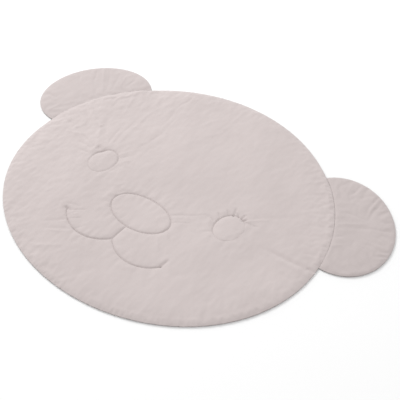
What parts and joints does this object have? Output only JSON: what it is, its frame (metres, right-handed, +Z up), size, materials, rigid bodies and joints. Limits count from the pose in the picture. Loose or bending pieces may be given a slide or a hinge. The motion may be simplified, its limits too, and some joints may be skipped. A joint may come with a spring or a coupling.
{
  "type": "bear shaped kids rug",
  "caption": "Flat padded velvet floor mat for a child, in the shape of an oval bear head with sewn-on ears and a quilted face.",
  "frame": {"origin": "centre of the head's oval, on the floor that the mat lies on", "axes": "+X to the viewer's right across the face, from ear to ear; +Y from the smile to the forehead; +Z up, out of the mat"},
  "size_m": [1.3614, 0.974, 0.015],
  "materials": {
    "velvet": "matt short-pile velvet, pale dusty rose"
  },
  "bodies": {
    "root": {"head_pad": "velvet", "ear_left": "velvet", "ear_right": "velvet"}
  },
  "joints": []
}
